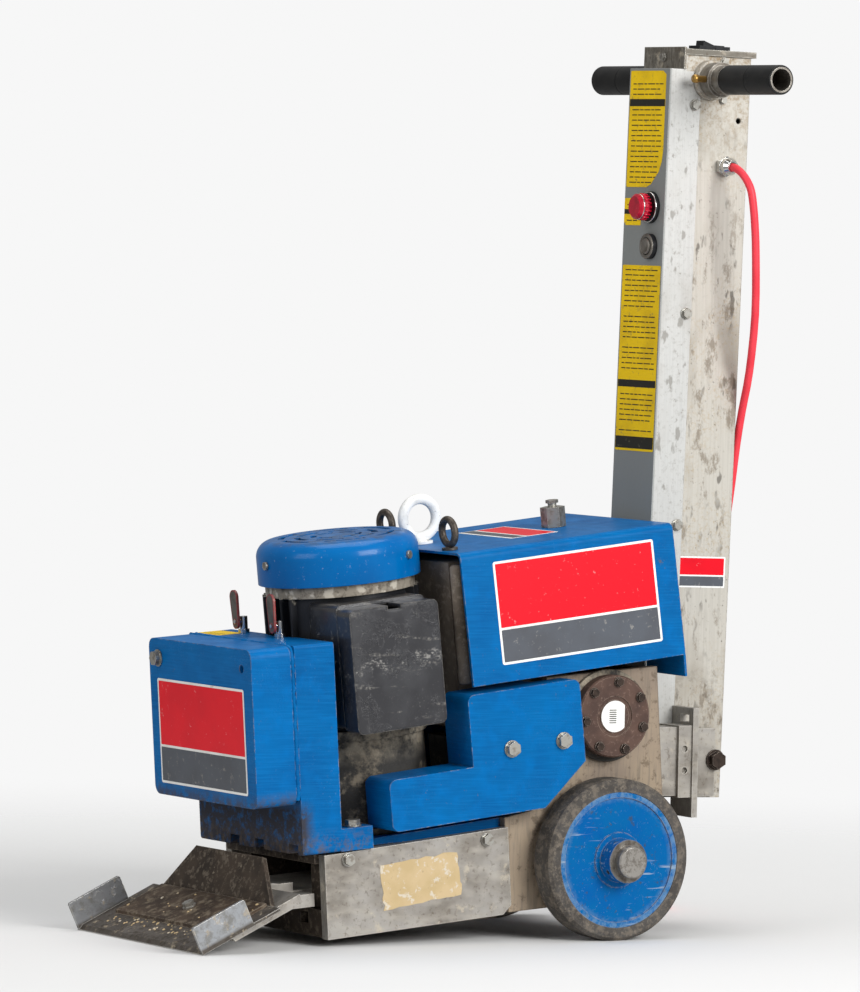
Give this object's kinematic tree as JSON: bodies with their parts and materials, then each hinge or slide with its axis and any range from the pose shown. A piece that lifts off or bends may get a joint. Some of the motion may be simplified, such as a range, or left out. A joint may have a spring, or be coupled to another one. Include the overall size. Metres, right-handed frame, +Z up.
{
  "type": "walk-behind floor stripper",
  "caption": "Floor stripper with an oscillating blade, an upright motor, a front weight, two driven wheels and a tilting control column.",
  "frame": {"origin": "on the floor, under the middle of the machine without its lead", "axes": "+Z up, -Y towards the blade, +Y towards the operator, +X the operator's left, where the terminal box and the lead outlet are"},
  "size_m": [0.476, 0.9016, 1.1141],
  "materials": {
    "blue_paint": "semi-gloss enamel, brushed and worn",
    "bare_steel": "bare, stained",
    "dirty_steel": "grimy",
    "cream_paint": "flat, stained",
    "black_paint": "satin",
    "cast_grey": "rough cast",
    "brown_paint": "satin",
    "white_paint": "satin",
    "copper": "enamelled wire",
    "clear_sheet": "matt sheet",
    "tyre": "matt",
    "black_rubber": "matt",
    "red_rubber": "matt",
    "red_plastic": "gloss",
    "red_vinyl": "matt",
    "black_plastic": "matt",
    "chrome": "polished"
  },
  "bodies": {
    "chassis": {"side_plate_left": "bare_steel", "side_plate_right": "bare_steel", "top_plate": "dirty_steel", "cross_plates": "dirty_steel", "rear_wall_left": "cream_paint", "rear_wall_right": "cream_paint", "deck": "blue_paint", "hex_bolts": "bare_steel", "weight_bracket": "blue_paint", "front_weight": "blue_paint", "valve_bodies": "chrome", "motor_bell": "cast_grey", "motor_frame": "black_paint", "stator": "copper", "fan_cowl": "blue_paint", "cowl_screws": "bare_steel", "terminal_box": "black_paint", "terminal_lid": "black_paint", "motor_lead": "red_rubber", "hydraulic_pump": "cast_grey", "guard_left": "blue_paint", "guard_right": "blue_paint", "hood": "blue_paint", "eyebolts": "bare_steel", "lifting_eye": "white_paint", "oil_tank": "dirty_steel", "filler_breather": "bare_steel", "drive_motor": "cast_grey", "drive_motor_cap": "brown_paint", "cap_bolts": "bare_steel", "drive_chain": "bare_steel", "column_brackets": "dirty_steel", "pivot_bolt": "bare_steel", "lead_tail": "red_rubber", "lead_coil": "red_rubber", "lead_plug": "black_rubber"},
    "blade": {"blade": "bare_steel", "blade_clamp_plate": "dirty_steel", "blade_clamp_bolt": "bare_steel", "blade_seat": "bare_steel", "deflector": "dirty_steel", "blade_carrier": "bare_steel"},
    "rotor": {"rotor": "bare_steel"},
    "wheels": {"wheelset": "blue_paint", "tyres": "tyre"},
    "drive_shaft": {"drive_shaft": "bare_steel"},
    "valve_lever_left": {"valve_lever_left": "red_vinyl"},
    "valve_lever_right": {"valve_lever_right": "red_vinyl"},
    "column": {"column_channel": "bare_steel", "column_cover": "clear_sheet", "column_cap": "black_paint", "column_screws": "bare_steel", "switch_housings": "black_plastic", "cable_gland": "black_plastic", "power_lead": "red_rubber"},
    "estop": {"estop_head": "red_plastic"},
    "start": {"start_button": "black_plastic"},
    "rocker": {"rocker_switch": "black_plastic"},
    "handlebar": {"handlebar": "bare_steel", "grips": "black_rubber"}
  },
  "joints": [
    {"name": "blade_stroke", "type": "slide", "parent": "chassis", "child": "blade", "axis": [0, 0.9972, 0.075], "range_m": [-0.003, 0.003]},
    {"name": "rotor_spin", "type": "hinge", "parent": "chassis", "child": "rotor", "pos_m": [0, -0.11382, 0.2671], "axis": [0, -0.1184, 0.993], "continuous": true},
    {"name": "wheel_spin", "type": "hinge", "parent": "chassis", "child": "wheels", "pos_m": [0, 0.17399, 0.1], "axis": [1, 0, 0], "continuous": true},
    {"name": "drive_shaft_spin", "type": "hinge", "parent": "chassis", "child": "drive_shaft", "pos_m": [0, 0.18099, 0.275], "axis": [1, 0, 0], "continuous": true},
    {"name": "valve_lever_left_turn", "type": "hinge", "parent": "chassis", "child": "valve_lever_left", "pos_m": [-0.071, -0.23646, 0.38402], "axis": [0, -0.9972, -0.075], "range_deg": [0, 75]},
    {"name": "valve_lever_right_turn", "type": "hinge", "parent": "chassis", "child": "valve_lever_right", "pos_m": [0.021, -0.23646, 0.38402], "axis": [0, -0.9972, -0.075], "range_deg": [0, 90]},
    {"name": "column_tilt", "type": "hinge", "parent": "chassis", "child": "column", "pos_m": [0, 0.38199, 0.211], "axis": [1, 0, 0], "range_deg": [-18, 0]},
    {"name": "estop_push", "type": "slide", "parent": "column", "child": "estop", "axis": [0, 0.9997, -0.0244], "range_m": [0, 0.005]},
    {"name": "start_push", "type": "slide", "parent": "column", "child": "start", "axis": [0, 0.9997, -0.0244], "range_m": [0, 0.003], "stiffness_N_per_m": 400, "springref_m": -0.001},
    {"name": "rocker_tilt", "type": "hinge", "parent": "column", "child": "rocker", "pos_m": [0, 0.38459, 1.10415], "axis": [1, 0, 0], "range_deg": [0, 20]},
    {"name": "handlebar_twist", "type": "hinge", "parent": "column", "child": "handlebar", "pos_m": [0, 0.3576, 1.0638], "axis": [1, 0, 0], "range_deg": [-25, 25], "stiffness_Nm_per_rad": 8}
  ],
  "couplings": [
    {"joint": "drive_shaft_spin", "follows": "wheel_spin", "ratio": 2}
  ]
}
